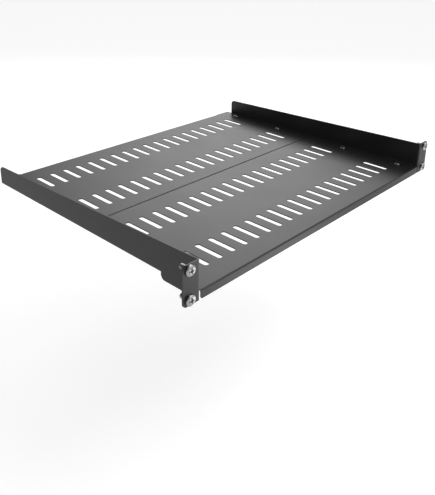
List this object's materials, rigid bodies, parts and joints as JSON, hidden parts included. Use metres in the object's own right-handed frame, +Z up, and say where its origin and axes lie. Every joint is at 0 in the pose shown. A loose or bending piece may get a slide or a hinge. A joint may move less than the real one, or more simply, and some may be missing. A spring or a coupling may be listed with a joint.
{
  "type": "cantilever rack shelf",
  "caption": "Vented black steel cantilever rack shelf with tapered side brackets, two slotted pans and silver rack screws.",
  "frame": {"origin": "middle of the four rack screws, on the plane of the ears' back faces", "axes": "+X across the rack to the right, +Y back into the rack, +Z up"},
  "size_m": [0.4826, 0.3752, 0.0444],
  "materials": {
    "powder_coat": "satin",
    "black_screw": "satin",
    "zinc_steel": "satin",
    "bright_screw": "polished"
  },
  "bodies": {
    "root": {"front_pan": "powder_coat", "rear_pan": "powder_coat", "left_bracket": "powder_coat", "right_bracket": "powder_coat", "pan_screw_left_1": "black_screw", "clinch_nut_left_1": "zinc_steel", "pan_screw_left_2": "black_screw", "clinch_nut_left_2": "zinc_steel", "pan_screw_left_3": "black_screw", "clinch_nut_left_3": "zinc_steel", "pan_screw_left_4": "black_screw", "clinch_nut_left_4": "zinc_steel", "rack_screw_left_lower": "bright_screw", "rack_screw_left_upper": "bright_screw", "pan_screw_right_1": "black_screw", "clinch_nut_right_1": "zinc_steel", "pan_screw_right_2": "black_screw", "clinch_nut_right_2": "zinc_steel", "pan_screw_right_3": "black_screw", "clinch_nut_right_3": "zinc_steel", "pan_screw_right_4": "black_screw", "clinch_nut_right_4": "zinc_steel", "rack_screw_right_lower": "bright_screw", "rack_screw_right_upper": "bright_screw"}
  },
  "joints": []
}
